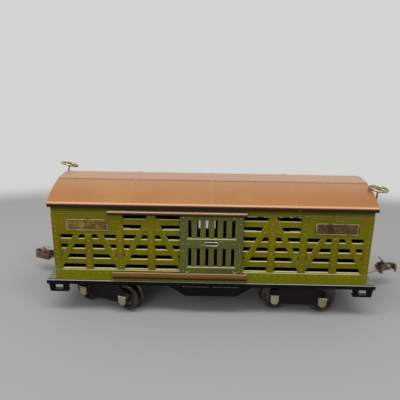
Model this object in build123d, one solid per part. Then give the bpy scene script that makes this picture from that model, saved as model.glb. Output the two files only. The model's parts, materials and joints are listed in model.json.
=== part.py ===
from build123d import *
import math
import os

# Tinplate slatted stock car on two swivelling trucks, in millimetres.
# +X runs along the car, +Y is the far side, +Z is up.
# The origin is the centre of the car, level with the bottoms of the wheel flanges.

# ---- running gear sizes
track_gauge = 54.0
rail_play = 0.9              # gauge left over on each side of a wheel flange
truck_spacing = 167.0        # king pin to king pin
wheelbase = 42.6
flange_radius = 14.3
tread_radius = 12.3
wheel_width = 9.7
wheel_rim_radius = 9.2       # inner edge of the rim round the dished face
wheel_dish_depth = 1.5
wheel_edge = 0.5             # sloped edges of the tread, rim and hub
flange_edge = 0.7            # rounded edges of the flange
flange_thickness = 2.2
axle_radius = 1.5
axle_end_play = 0.5          # axle end to the bottom of its bore
hub_radius = 4.4
side_play = 0.5              # wheel face to truck side plate
truck_side_thickness = 1.2
truck_side_margin = 0.5      # side plate beyond a journal box
truck_side_corner = 2.0      # corners cut off below the journal boxes
truck_side_belly = 1.3       # lower edge between the wheels, below the boxes
truck_shoulder_height = 9.4  # bolster's shoulder above the axles
truck_top_thickness = 1.2
bolster_width = 32.0         # along the car
journal_width = 7.4
journal_height = 9.4
journal_depth = 5.5
journal_bore_depth = 4.0
journal_bore_play = 0.3
journal_lid_proud = 0.5
journal_lid_height = 1.2
king_pin_radius = 2.0
king_head_radius = 4.2
king_head_height = 0.8
king_washer_radius = 6.5
king_washer_height = 0.8
rivet_head_height = 1.2

# ---- angles at which the trucks and couplers stand
left_truck_angle = -23.0
right_truck_angle = -4.7
left_coupler_angle = 0.0
right_coupler_angle = 25.0
left_latch_angle = 6.0
right_latch_angle = 44.0
latch_shut_angle = 44.0

# ---- coupler sizes
coupler_height = 20.0        # middle of the bar above the rail
coupler_pivot_reach = 33.0   # king pin to coupler rivet
coupler_length = 70.0        # coupler rivet to the middle of the head
coupler_bar_width = 7.0
coupler_bar_thickness = 1.5
coupler_rivet_radius = 1.6
coupler_rivet_head_radius = 3.0
tongue_width = 12.0
tongue_axle_gap = 2.5        # outer axle to the tongue's step
coupler_eye_margin = 1.0     # metal round the bar's width at the rivet
hook_height = 6.4
hook_thickness = 1.8
hook_reach = 10.5            # head middle to the outside of the hook's front
hook_bevel = 4.0             # front corner cut off on the closed side
hook_tip_offset = 1.0        # where the front turns back, past the middle
hook_tip_run = 2.9           # how far the tip comes back
hook_rib_width = 0.5
throat_width = 8.2
latch_width = 4.6
latch_thickness = 1.1
latch_finger_length = 11.0   # pin to the finger end
latch_nose_length = 7.0      # pin to the nose
latch_nose_thickness = 2.4
latch_nose_block = 3.2       # length of the thick end of the nose
latch_pin_radius = 0.7
latch_pin_setback = 4.6      # back plate to the latch pin
latch_ear_thickness = 0.9
latch_ear_radius = 1.8
latch_boss_radius = 1.5
latch_rivet_height = 0.5
latch_rivet_radius = 1.3

# ---- underframe sizes
platform_length = 8.5        # frame past the end wall
frame_side_margin = 1.7      # frame past the side wall
frame_top = 34.2
frame_sheet = 0.9
frame_edge_depth = 3.9
floor_rise = 1.0             # pressed-up load floor above the frame's top
floor_fit = 0.15             # walls to the edge of the raised floor
floor_rim = 1.0              # solid edge of the floor past the wall tabs' feet
king_seat_margin = 1.0       # low ground round the king washer
skirt_top_width = 86.6
skirt_bottom_width = 45.0
skirt_depth = 13.0           # frame underside to the skirt's lower edge
skirt_panel_width = 23.5
skirt_panel_height = 4.6
skirt_panel_gap = 3.4
step_width = 19.5
step_depth = 10.6
step_foot_width = 16.2
step_window_width = 6.8
step_window_height = 4.4
step_tread_depth = 4.2
step_sheet = 1.2

# ---- body sizes
body_length = 275.0
body_width = 88.0
wall_sheet = 1.0
post_pitch = 27.25
door_post_x = 24.9           # middle of the posts beside the doorway
post_width = 5.4
post_proud = 0.6
post_cap = 1.0               # posts above the top of the highest slots
corner_post_width = 6.0
brace_width = 4.6
brace_proud = 0.45
sill_height = 10.0
sill_proud = 0.7
first_slot_rise = 3.75       # sill to the middle of the lowest slot
slot_pitch = 9.35
slot_height = 3.8
slot_row_count = 6
panel_row_count = 4          # rows of slots below the name panel
slot_inset = 3.3             # post middle to the end of a slot
slot_ledge = 0.7             # height of the sloped lower edge of a slot
doorway_inset = 0.7          # doorway edge to the middle of its post
end_post_y = 13.6
end_groove_depth = 0.5       # the ends are pressed, and not cut through
bead_drop = 0.4              # top of the posts to the bead line
bead_height = 0.9
bead_proud = 0.35
tab_width = 4.0
tab_clearance = 0.15
tab_foot = 2.6
side_tab_offsets = (60.0, 114.0)
end_tab_offset = 20.0

# ---- roof sizes
roof_end_overhang = 1.6
roof_side_overhang = 4.05
eave_gap = 3.0               # upper guide to the eave
eave_depth = 4.0
roof_rise = 12.0
roof_sheet = 0.9
roof_fit = 0.2               # walls to the underside of the roof
eave_radius = 1.5
eave_lip_radius = 0.6
running_board_width = 22.3
roof_rib_pitch = 69.5
roof_rib_width = 2.8
roof_rib_rise = 0.35
fold_radius = 0.8

# ---- door and guide sizes
door_width = 54.4
door_sill_lap = 1.8          # door's lower edge below the top of the sill
door_head_rise = 1.4         # top of the door above the posts
door_sheet = 0.7
door_rail_proud = 0.5
door_stile_width = 6.0
door_top_rail = 5.2
door_bottom_rail = 7.2
door_mid_rail_rise = 29.6    # middle of the rail above the door's lower edge
door_mid_rail_height = 8.6
door_slat_pitch = 7.45
door_slot_width = 2.9
door_slot_columns = 6
door_slot_margin = 0.7
door_gap = 0.3               # posts to the back of the door
guide_sheet = 0.8
guide_gap = 0.4              # door face to the inside of a guide's lip
guide_length = 118.6
guide_edge_radius = 0.7
lower_guide_shift = 2.0      # towards the end stop, past the upper guide
guide_end_gap = 2.6          # closed door's edge to the guide's end stop
upper_guide_lip = 3.2
lower_guide_lip = 6.4
lower_guide_rise = 1.3       # lip above the door's lower edge
door_lug_width = 3.0
door_lug_offset = 20.6
handle_length = 13.0
handle_height = 4.2
handle_wire = 0.9
handle_stand_off = 0.7

# ---- name plate sizes
plate_length = 36.0
plate_height = 10.4
plate_thickness = 0.5
plate_tab_length = 1.0
plate_tab_width = 5.2
plate_rise = 3.6             # plate above the lower edge of its panel

# ---- hand brake sizes
staff_radius = 0.8
staff_stand_off = 5.7        # end wall to the middle of the staff
staff_side_inset = 21.7      # roof's side edge to the middle of the staff
staff_bend_rise = 5.8        # above the eave
left_staff_angle = 17.0
right_staff_angle = 5.5
left_staff_heading_angle = 35.0
right_staff_heading_angle = -30.0
left_staff_rise = 2.7        # wheel hub above the roof's crown
right_staff_rise = -1.1
staff_collar_radius = 1.5
staff_collar_height = 0.8
brake_wheel_radius = 8.65
brake_rim_radius = 1.0
brake_hub_radius = 1.8
brake_hub_height = 2.2
brake_spoke_width = 1.5
brake_spoke_thickness = 0.9
brake_spoke_count = 4
bracket_drop = 3.6           # bracket's underside below the eave
bracket_thickness = 1.2
bracket_eye_radius = 2.2
bracket_foot_width = 8.0
bracket_foot_height = 3.2

# ---- fits
running_fit = 0.05           # radial, pin in its hole
past = 1.0                   # how far a cutter runs past a face
free_gap = 0.1               # flat face to flat face where something turns

# ---- sizes worked out from the ones above
ends = ("left", "right")
truck_angle = {"left": left_truck_angle, "right": right_truck_angle}
coupler_angle = {"left": left_coupler_angle, "right": right_coupler_angle}
latch_angle = {"left": left_latch_angle, "right": right_latch_angle}
staff_lean_angle = {"left": left_staff_angle, "right": right_staff_angle}
staff_heading_angle = {"left": left_staff_heading_angle, "right": right_staff_heading_angle}
staff_top_rise = {"left": left_staff_rise, "right": right_staff_rise}
half_body = body_length / 2
frame_length = body_length + 2 * platform_length
frame_width = body_width + 2 * frame_side_margin
roof_length = body_length + 2 * roof_end_overhang
roof_width = body_width + 2 * roof_side_overhang
staff_x = half_body + staff_stand_off
staff_y = roof_width / 2 - staff_side_inset
wall_y = body_width / 2
wall_inner_y = wall_y - wall_sheet
frame_under = frame_top - frame_sheet
frame_inner_y = frame_width / 2 - frame_sheet
floor_top = frame_top + floor_rise
sill_top = frame_top + sill_height
first_slot_z = sill_top + first_slot_rise
slot_floor = first_slot_z - slot_height / 2 - slot_ledge
last_slot_top = first_slot_z + (slot_row_count - 1) * slot_pitch + slot_height / 2
panel_low = first_slot_z + (panel_row_count - 1) * slot_pitch + slot_height / 2
post_cap_z = last_slot_top + post_cap
bead_z = post_cap_z - bead_drop
axle_z = flange_radius
flange_face_y = track_gauge / 2 - rail_play
wheel_back_y = flange_face_y - flange_thickness
wheel_face_y = wheel_back_y + wheel_width
truck_side_y = wheel_face_y + side_play
journal_back_y = truck_side_y + truck_side_thickness
journal_front_y = journal_back_y + journal_depth
truck_top_z = frame_under - king_washer_height - free_gap
truck_under_z = truck_top_z - truck_top_thickness
tongue_top_z = coupler_height - coupler_bar_thickness / 2
post_face_y = wall_y + post_proud
door_back_y = wall_y + sill_proud + door_gap
door_sheet_y = door_back_y + door_sheet
door_face_y = door_sheet_y + door_rail_proud
lip_back_y = door_face_y + guide_gap
lip_face_y = lip_back_y + guide_sheet
door_bottom_z = sill_top - door_sill_lap
door_top_z = post_cap_z + door_head_rise
door_mid_rail_z = door_bottom_z + door_mid_rail_rise
upper_guide_top = door_top_z + guide_gap + guide_sheet
eave_z = upper_guide_top + eave_gap
plate_middle_z = panel_low + plate_rise + plate_height / 2
roof_half_width = roof_width / 2
roof_arc_radius = (roof_half_width ** 2 + roof_rise ** 2) / (2 * roof_rise)
fold_z = eave_z + eave_depth
roof_crown_z = fold_z + roof_rise
roof_arc_z = roof_crown_z - roof_arc_radius
staff_bend_z = eave_z + staff_bend_rise
bracket_z = eave_z - bracket_drop
corner_post_x = half_body - corner_post_width


# ---- simple solids
def block(x0, x1, y0, y1, z0, z1):
    middle = Pos((x0 + x1) / 2, (y0 + y1) / 2, (z0 + z1) / 2)
    return middle * Box(abs(x1 - x0), abs(y1 - y0), abs(z1 - z0))


def plate_along_y(points, y0, y1):
    outline = Polyline(*[(x, y0, z) for x, z in points], close=True)
    return extrude(make_face(outline), amount=y1 - y0, dir=(0, 1, 0))


def plate_along_z(points, z0, z1):
    outline = Polyline(*[(x, y, z0) for x, y in points], close=True)
    return extrude(make_face(outline), amount=z1 - z0, dir=(0, 0, 1))


def plate_along_x(points, x0, x1):
    outline = Polyline(*[(x0, y, z) for y, z in points], close=True)
    return extrude(make_face(outline), amount=x1 - x0, dir=(1, 0, 0))


def upright(radius, z0, z1, x=0.0, y=0.0):
    return Pos(x, y, (z0 + z1) / 2) * Cylinder(radius, z1 - z0)


def across(radius, y0, y1, x=0.0, z=0.0):
    return Pos(x, (y0 + y1) / 2, z) * Rot(90, 0, 0) * Cylinder(radius, y1 - y0)


def half_turn(shape):
    return Rot(0, 0, 180) * shape


def save(shape, node):
    export_step(shape, f"parts/{node}.step")


# ---- underframe
def wall_tab_cutters():
    y = wall_y - wall_sheet / 2
    x_end = half_body - wall_sheet / 2
    half_long = tab_width / 2 + tab_clearance
    half_thick = wall_sheet / 2 + tab_clearance
    cutters = []
    for place in side_tab_offsets:
        for x in (-place, place):
            for side_y in (-y, y):
                cutters.append(
                    block(x - half_long, x + half_long, side_y - half_thick,
                          side_y + half_thick, frame_under - past, frame_top + past))
    for x in (-x_end, x_end):
        for tab_y in (-end_tab_offset, end_tab_offset):
            cutters.append(
                block(x - half_thick, x + half_thick, tab_y - half_long,
                      tab_y + half_long, frame_under - past, frame_top + past))
    return cutters


def raised_floor():
    # Pressed up inside the walls, but left low round the king pins' heads.
    half_x = half_body - wall_sheet - floor_fit
    half_y = wall_inner_y - floor_fit
    rim = tab_foot + floor_rim
    floor = block(-half_x, half_x, -half_y, half_y, frame_top, floor_top)
    hollow = block(-half_x + rim, half_x - rim, -half_y + rim, half_y - rim,
                   frame_under - past, floor_top - frame_sheet)
    seat_radius = king_washer_radius + king_seat_margin
    for x in (-truck_spacing / 2, truck_spacing / 2):
        floor -= upright(seat_radius, frame_top - past, floor_top + past, x)
        hollow -= upright(seat_radius + frame_sheet, frame_under - 2 * past, floor_top, x)
    return floor, hollow


def make_underframe():
    half_x = frame_length / 2
    half_y = frame_width / 2
    shell = block(-half_x, half_x, -half_y, half_y, frame_top - frame_edge_depth, frame_top)
    shell = fillet(shell.edges().group_by(Axis.Z)[-1], fold_radius)
    inner_x = half_x - frame_sheet
    shell -= block(-inner_x, inner_x, -frame_inner_y, frame_inner_y,
                   frame_top - frame_edge_depth - past, frame_under)
    floor, hollow = raised_floor()
    shell = shell + floor - hollow
    for cutter in wall_tab_cutters():
        shell -= cutter
    for x in (-truck_spacing / 2, truck_spacing / 2):
        shell -= upright(king_pin_radius, frame_under - past, frame_top + past, x)
    for direction in (-1, 1):
        shell -= upright(staff_radius, frame_under - past, frame_top + past,
                         direction * staff_x, -direction * staff_y)
    return shell


def make_side_skirt():
    top = frame_under
    bottom = frame_under - skirt_depth
    outline = [(-skirt_top_width / 2, top), (-skirt_bottom_width / 2, bottom),
               (skirt_bottom_width / 2, bottom), (skirt_top_width / 2, top)]
    inner_y = frame_inner_y - frame_sheet
    skirt = plate_along_y(outline, -frame_inner_y, -inner_y)
    panel_z = bottom + skirt_panel_height
    for direction in (-1, 1):
        near_x = direction * skirt_panel_gap / 2
        far_x = near_x + direction * skirt_panel_width
        skirt += block(near_x, far_x, -frame_inner_y - bead_proud, -frame_inner_y,
                       panel_z, panel_z + skirt_panel_height)
    return skirt


def make_corner_step():
    # Hangs inside the frame's near edge at the +X end.
    outer_x = frame_length / 2 - frame_sheet
    top = frame_under
    bottom = top - step_depth - (step_sheet - frame_sheet)
    middle_x = outer_x - step_width / 2
    outline = [(middle_x - step_width / 2, top), (middle_x - step_foot_width / 2, bottom),
               (middle_x + step_foot_width / 2, bottom), (middle_x + step_width / 2, top)]
    back_y = frame_inner_y - step_sheet
    step = plate_along_y(outline, -frame_inner_y, -back_y)
    window_low = bottom + step_sheet * 2
    window_high = window_low + step_window_height
    step -= block(middle_x - step_window_width / 2, middle_x + step_window_width / 2,
                  -frame_inner_y - past, -back_y + past, window_low, window_high)
    half_foot = step_foot_width / 2
    step += block(middle_x - half_foot, middle_x + half_foot,
                  -back_y, -back_y + step_tread_depth, bottom, bottom + step_sheet)
    return step


# ---- body walls
def slot_cutter(x0, x1, row):
    # The lower edge of each slot slopes outwards, as the rolled top of the slat below it.
    low = first_slot_z + row * slot_pitch - slot_height / 2
    high = low + slot_height
    back_y = wall_inner_y - past
    front_y = wall_y + past
    section = [(-back_y, low), (-wall_inner_y, low), (-wall_y, low - slot_ledge),
               (-front_y, low - slot_ledge), (-front_y, high), (-back_y, high)]
    return plate_along_x(section, x0, x1)


def brace(foot_x, head_x, low, high, y0, y1):
    # A flat diagonal band from the sill at foot_x up to head_x.
    run = head_x - foot_x
    rise = high - low
    half_across = brace_width / 2 * math.hypot(run, rise) / rise
    outline = [(foot_x - half_across, low), (foot_x + half_across, low),
               (head_x + half_across, high), (head_x - half_across, high)]
    return plate_along_y(outline, y0, y1)


def post_middle(number):
    return door_post_x + number * post_pitch


def wall_tab(x):
    tab = block(x - tab_width / 2, x + tab_width / 2, -wall_y, -wall_inner_y,
                frame_under - wall_sheet, frame_top)
    foot = block(x - tab_width / 2, x + tab_width / 2, -wall_inner_y,
                 -wall_inner_y + tab_foot, frame_under - wall_sheet, frame_under)
    return tab + foot


def side_wall_top():
    drop = roof_arc_radius - math.sqrt(roof_arc_radius ** 2 - wall_y ** 2)
    return roof_crown_z - drop - roof_sheet - roof_fit * 2


def make_side_wall():
    top = side_wall_top()
    wall = block(-half_body, half_body, -wall_y, -wall_inner_y, frame_top, top)

    for direction in (-1, 1):
        for bay in range(4):
            near_x = post_middle(bay) + slot_inset - (doorway_inset if bay == 0 else 0)
            far_x = post_middle(bay + 1) - slot_inset
            far_x = min(far_x, corner_post_x)
            rows = slot_row_count if bay < 2 else panel_row_count
            for row in range(rows):
                x0 = min(direction * near_x, direction * far_x)
                x1 = max(direction * near_x, direction * far_x)
                wall -= slot_cutter(x0, x1, row)

        # posts, with the braces meeting at the head of the odd ones
        for number, post_top in ((1, post_cap_z), (2, post_cap_z), (3, panel_low)):
            x = direction * post_middle(number)
            wall += block(x - post_width / 2, x + post_width / 2, -post_face_y, -wall_inner_y,
                          slot_floor, post_top)
        outer_x = direction * half_body
        wall += block(direction * corner_post_x, outer_x, -post_face_y, -wall_y,
                      frame_top, post_cap_z)
        for head, feet in ((1, (0, 2)), (3, (2, 4))):
            for foot_number in feet:
                foot_x = direction * post_middle(foot_number)
                head_x = direction * post_middle(head)
                wall += brace(foot_x, head_x, slot_floor, last_slot_top,
                              -wall_y - brace_proud, -wall_inner_y)
        wall += block(direction * (door_post_x - slot_inset), direction * (door_post_x + post_cap),
                      -post_face_y, -wall_inner_y, slot_floor, last_slot_top)
        wall += block(direction * post_middle(2), direction * corner_post_x,
                      -wall_y - bead_proud, -wall_y, bead_z, bead_z + bead_height)

    # the name panels cover the tops of the outer braces
    for direction in (-1, 1):
        wall += block(direction * (post_middle(2) + post_width / 2), direction * corner_post_x,
                      -wall_y - brace_proud, -wall_y, panel_low, last_slot_top)

    sill = [(-wall_y, frame_top), (-wall_y - sill_proud, frame_top),
            (-wall_y - sill_proud, sill_top), (-wall_y, sill_top + slot_ledge / 2)]
    wall += plate_along_x(sill, -half_body, half_body)

    doorway = door_post_x - slot_inset
    wall -= block(-doorway, doorway, -post_face_y - past, -wall_inner_y + past,
                  slot_floor, last_slot_top)
    for place in side_tab_offsets:
        for x in (-place, place):
            wall += wall_tab(x)
    return wall


def make_end_wall():
    # The +X end. The top follows the underside of the roof.
    inner_x = half_body - wall_sheet
    groove_x = half_body - end_groove_depth
    half_y = wall_inner_y - roof_fit
    roof_under = roof_arc_radius - roof_sheet - roof_fit * 2
    arc_height = roof_arc_z + math.sqrt(roof_under ** 2 - half_y ** 2)
    base = Polyline((inner_x, half_y, arc_height), (inner_x, half_y, frame_top),
                    (inner_x, -half_y, frame_top), (inner_x, -half_y, arc_height))
    crown = ThreePointArc((inner_x, -half_y, arc_height), (inner_x, 0, roof_arc_z + roof_under),
                          (inner_x, half_y, arc_height))
    wall = extrude(make_face(base + crown), amount=wall_sheet, dir=(1, 0, 0))

    bay_edges = [(-corner_edge_y(), -end_post_y - slot_inset),
                 (-end_post_y + slot_inset, end_post_y - slot_inset),
                 (end_post_y + slot_inset, corner_edge_y())]
    for y0, y1 in bay_edges:
        for row in range(slot_row_count):
            low = first_slot_z + row * slot_pitch - slot_height / 2
            high = low + slot_height
            section = [(groove_x, low), (half_body, low - slot_ledge),
                       (half_body + past, low - slot_ledge), (half_body + past, high),
                       (groove_x, high)]
            wall -= plate_along_y(section, y0, y1)

    for y in (-end_post_y, end_post_y):
        wall += block(half_body, half_body + post_proud, y - post_width / 2, y + post_width / 2,
                      frame_top, post_cap_z)
    for direction in (-1, 1):
        wall += block(half_body, half_body + post_proud, direction * corner_edge_y(),
                      direction * half_y, frame_top, post_cap_z)
    wall += block(half_body, half_body + sill_proud, -half_y, half_y,
                  frame_top, sill_top)
    for y in (-end_tab_offset, end_tab_offset):
        wall += block(inner_x, half_body, y - tab_width / 2, y + tab_width / 2,
                      frame_under - wall_sheet, frame_top)
        wall += block(inner_x - tab_foot, inner_x, y - tab_width / 2, y + tab_width / 2,
                      frame_under - wall_sheet, frame_under)
    return wall


def corner_edge_y():
    return wall_inner_y - roof_fit - corner_post_width


# ---- roof
def roof_section(x0, length, inset, floor_z):
    # An arched section, drawn in from the outside of the roof by inset.
    half_y = roof_half_width - inset
    radius = roof_arc_radius - inset
    shoulder = roof_arc_z + math.sqrt(radius ** 2 - half_y ** 2)
    base = Polyline((x0, half_y, shoulder), (x0, half_y, floor_z),
                    (x0, -half_y, floor_z), (x0, -half_y, shoulder))
    crown = ThreePointArc((x0, -half_y, shoulder), (x0, 0, roof_arc_z + radius),
                          (x0, half_y, shoulder))
    return extrude(make_face(base + crown), amount=length, dir=(1, 0, 0))


def roof_rib(x, direction):
    # A pressed seam from the running board down to the fold.
    outer = roof_section(x - roof_rib_width / 2, roof_rib_width, -roof_rib_rise, eave_z)
    inner = roof_section(x - roof_rib_width, 2 * roof_rib_width, roof_sheet / 2, eave_z - past)
    keep = block(x - roof_rib_width, x + roof_rib_width, direction * running_board_width / 2,
                 direction * (roof_half_width - eave_radius), fold_z, roof_crown_z)
    return (outer - inner) & keep


def make_roof():
    half_x = roof_length / 2
    roof = roof_section(-half_x, roof_length, 0, eave_z)
    levels = roof.edges().filter_by(Axis.X).group_by(Axis.Z)
    roof = fillet(levels[-1], eave_radius)
    roof = fillet(roof.edges().filter_by(Axis.X).group_by(Axis.Z)[0], eave_lip_radius)
    roof -= roof_section(-half_x + roof_sheet, roof_length - 2 * roof_sheet,
                         roof_sheet, eave_z - past)
    roof -= roof_section(-half_x - past, roof_length + 2 * past, eave_depth, eave_z - past)
    half_board = running_board_width / 2
    board_edge_z = roof_arc_z + math.sqrt(roof_arc_radius ** 2 - half_board ** 2)
    roof += block(-half_x, half_x, -half_board, half_board,
                  board_edge_z - roof_sheet / 2, roof_crown_z)
    for x in (-roof_rib_pitch, 0, roof_rib_pitch):
        for direction in (-1, 1):
            roof += roof_rib(x, direction)
    return roof


# ---- doors and their guides
def guide_span():
    # The near door slides towards -X, so its guides reach further that way.
    stop_x = door_width / 2 + guide_end_gap
    return stop_x - guide_length, stop_x


def rounded_lip(guide, radius):
    # Rounds the edge that is both highest and furthest out.
    lip_edge = guide.edges().filter_by(Axis.X).sort_by(lambda edge: edge.center().Z - edge.center().Y)[-1]
    return fillet(lip_edge, radius)


def make_upper_guide():
    x0, x1 = guide_span()
    top = upper_guide_top
    low = top - upper_guide_lip
    section = [(-wall_y, top), (-lip_face_y, top), (-lip_face_y, low), (-lip_back_y, low),
               (-lip_back_y, top - guide_sheet), (-wall_y, top - guide_sheet)]
    guide = rounded_lip(plate_along_x(section, x0, x1), guide_edge_radius)
    guide += block(x1 - guide_sheet, x1, -lip_back_y, -wall_y, low, top)
    return guide


def make_lower_guide():
    x0, x1 = [x + lower_guide_shift for x in guide_span()]
    lip_top = door_bottom_z + lower_guide_rise
    low = lip_top - lower_guide_lip
    ledge_top = door_bottom_z - guide_gap
    back_y = wall_y + sill_proud
    section = [(-back_y, ledge_top), (-back_y, ledge_top - guide_sheet), (-lip_back_y, low),
               (-lip_face_y, low), (-lip_face_y, lip_top), (-lip_back_y, lip_top),
               (-lip_back_y, ledge_top)]
    guide = rounded_lip(plate_along_x(section, x0, x1), guide_edge_radius / 2)
    guide += block(x1 - guide_sheet, x1, -lip_back_y, -back_y, ledge_top - guide_sheet, lip_top)
    return guide


def make_door():
    half = door_width / 2
    door = block(-half, half, -door_sheet_y, -door_back_y, door_bottom_z, door_top_z)
    mid_low = door_mid_rail_z - door_mid_rail_height / 2
    mid_high = door_mid_rail_z + door_mid_rail_height / 2
    rails = [(door_bottom_z, door_bottom_z + door_bottom_rail), (mid_low, mid_high),
             (door_top_z - door_top_rail, door_top_z)]
    for low, high in rails:
        section = [(-door_sheet_y, low), (-door_face_y, low),
                   (-door_face_y, high - door_rail_proud), (-door_sheet_y, high)]
        door += plate_along_x(section, -half, half)
    for direction in (-1, 1):
        door += block(direction * (half - door_stile_width), direction * half,
                      -door_face_y, -door_sheet_y, door_bottom_z, door_top_z)
    slot_spans = [(rails[0][1] + door_slot_margin, mid_low - door_slot_margin),
                  (mid_high + door_slot_margin, rails[2][0] - door_slot_margin)]
    for column in range(door_slot_columns):
        x = (column - (door_slot_columns - 1) / 2) * door_slat_pitch
        for low, high in slot_spans:
            door -= block(x - door_slot_width / 2, x + door_slot_width / 2,
                          -door_face_y - past, -door_back_y + past, low, high)
    # two lugs hook over the lip of the lower guide
    lug_low = door_bottom_z + lower_guide_rise + guide_gap
    for x in (-door_lug_offset, door_lug_offset):
        door += block(x - door_lug_width / 2, x + door_lug_width / 2,
                      -lip_face_y, -door_sheet_y, lug_low, lug_low + guide_sheet)
    return door


def make_door_handle():
    # A rounded loop of wire on two short feet.
    outer = SlotOverall(handle_length, handle_height)
    inner = SlotOverall(handle_length - 2 * handle_wire, handle_height - 2 * handle_wire)
    loop = extrude(Plane.XZ * (outer - inner), amount=handle_wire)
    loop = Pos(0, -door_face_y - handle_stand_off, door_mid_rail_z) * loop
    foot_x = handle_length / 2 - handle_wire / 2
    for x in (-foot_x, foot_x):
        loop += Pos(x, 0, door_mid_rail_z) * block(
            -handle_wire / 2, handle_wire / 2, -door_face_y - handle_stand_off - handle_wire / 2,
            -door_face_y, -handle_wire / 2, handle_wire / 2)
    return loop


# ---- name plates
def make_name_plate(x):
    # A bare plate held by a small tab at each end.
    face_y = wall_y + brace_proud
    half = plate_length / 2
    low = plate_middle_z - plate_height / 2
    plate = block(x - half, x + half, -face_y - plate_thickness, -face_y,
                  low, low + plate_height)
    half_tab = plate_tab_width / 2
    for direction in (-1, 1):
        end_x = x + direction * half
        plate += block(end_x, end_x + direction * plate_tab_length,
                       -face_y - plate_thickness / 2, -face_y,
                       plate_middle_z - half_tab, plate_middle_z + half_tab)
    return plate


# ---- hand brakes
def staff_foot(end):
    direction = 1 if end == "right" else -1
    return Vector(direction * staff_x, -direction * staff_y, 0)


def staff_heading(end):
    lean = math.radians(staff_lean_angle[end])
    heading = math.radians(staff_heading_angle[end])
    return Vector(math.sin(lean) * math.cos(heading), math.sin(lean) * math.sin(heading),
                  math.cos(lean))


def staff_hub(end):
    rise = roof_crown_z + staff_top_rise[end] - staff_bend_z
    return staff_foot(end) + Vector(0, 0, staff_bend_z) + staff_heading(end) * (
        rise / math.cos(math.radians(staff_lean_angle[end])))


def along_staff(end, radius, low, high):
    # A round solid on the leaning axis, from low to high past the hub's middle.
    plane = Plane(origin=staff_hub(end) + staff_heading(end) * low, z_dir=staff_heading(end))
    return extrude(plane * Circle(radius), amount=high - low)


def make_brake_staff(end):
    foot = staff_foot(end)
    bend = foot + Vector(0, 0, staff_bend_z)
    post = upright(staff_radius, frame_under, staff_bend_z, foot.X, foot.Y)
    lower_length = (staff_hub(end) - bend).length
    half_hub = brake_hub_height / 2
    staff = post + Pos(bend) * Sphere(staff_radius)
    staff += along_staff(end, staff_radius, -lower_length, half_hub + free_gap)
    staff += along_staff(end, staff_collar_radius, -half_hub - free_gap - staff_collar_height,
                         -half_hub - free_gap)
    staff += along_staff(end, staff_collar_radius, half_hub + free_gap,
                         half_hub + free_gap + staff_collar_height)
    staff += upright(staff_collar_radius, frame_top, frame_top + staff_collar_height,
                     foot.X, foot.Y)
    return staff


def make_brake_wheel(end):
    ring_radius = brake_wheel_radius - brake_rim_radius
    wheel = Torus(ring_radius, brake_rim_radius)
    wheel += Cylinder(brake_hub_radius, brake_hub_height)
    for number in range(brake_spoke_count):
        turn = (number + 0.5) * 360 / brake_spoke_count
        spoke = block(0, ring_radius, -brake_spoke_width / 2, brake_spoke_width / 2,
                      -brake_spoke_thickness / 2, brake_spoke_thickness / 2)
        wheel += Rot(0, 0, turn) * spoke
    wheel -= Cylinder(staff_radius + running_fit, brake_hub_height + past)
    plane = Plane(origin=staff_hub(end), x_dir=(1, 0, 0), z_dir=staff_heading(end))
    return plane.location * wheel


def make_staff_bracket():
    # An eye on the +X end wall that steadies the staff below the roof.
    z0 = bracket_z
    z1 = bracket_z + bracket_thickness
    y = -staff_y
    bracket = block(half_body, staff_x, y - bracket_eye_radius, y + bracket_eye_radius, z0, z1)
    bracket += upright(bracket_eye_radius, z0, z1, staff_x, y)
    bracket += block(half_body, half_body + bracket_thickness,
                     y - bracket_foot_width / 2, y + bracket_foot_width / 2,
                     z1 - bracket_foot_height, z1)
    bracket -= upright(staff_radius + running_fit, z0 - past, z1 + past, staff_x, y)
    return bracket


# ---- trucks, drawn about their own king pin with the coupler end towards +X
def truck_side_outline():
    axle_x = wheelbase / 2
    end_x = axle_x + journal_width / 2 + truck_side_margin
    low_z = axle_z - journal_height / 2
    high_z = axle_z + journal_height / 2 + 2 * truck_side_margin
    belly_x = axle_x - journal_width
    half = [(bolster_width / 2, truck_top_z),
            (bolster_width / 2, axle_z + truck_shoulder_height),
            (end_x, high_z), (end_x, low_z + truck_side_corner),
            (end_x - truck_side_corner, low_z),
            (belly_x + truck_side_corner, low_z), (belly_x, low_z - truck_side_belly)]
    return half + [(-x, z) for x, z in reversed(half)]


def make_truck_frame():
    frame = block(-bolster_width / 2, bolster_width / 2, -journal_back_y, journal_back_y,
                  truck_under_z, truck_top_z)
    for y0, y1 in ((-journal_back_y, -truck_side_y), (truck_side_y, journal_back_y)):
        frame += plate_along_y(truck_side_outline(), y0, y1)
    for x in (-wheelbase / 2, wheelbase / 2):
        frame -= across(axle_radius + running_fit, -journal_back_y - past,
                        journal_back_y + past, x, axle_z)
    # the tongue steps down past the outer axle to carry the coupler
    root_x = bolster_width / 2 - truck_top_thickness
    drop_x = wheelbase / 2 + axle_radius + tongue_axle_gap
    end_x = coupler_pivot_reach + coupler_bar_width / 2 + coupler_eye_margin
    tongue_under_z = tongue_top_z - truck_top_thickness
    section = [(root_x, truck_top_z), (drop_x + truck_top_thickness, truck_top_z),
               (drop_x + truck_top_thickness, tongue_top_z), (end_x, tongue_top_z),
               (end_x, tongue_under_z), (drop_x, tongue_under_z),
               (drop_x, truck_under_z), (root_x, truck_under_z)]
    frame += plate_along_y(section, -tongue_width / 2, tongue_width / 2)
    frame -= upright(coupler_rivet_radius, tongue_under_z - past, tongue_top_z + past,
                     coupler_pivot_reach)
    frame -= upright(king_pin_radius + running_fit, truck_under_z - past, truck_top_z + past)
    return frame


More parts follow.
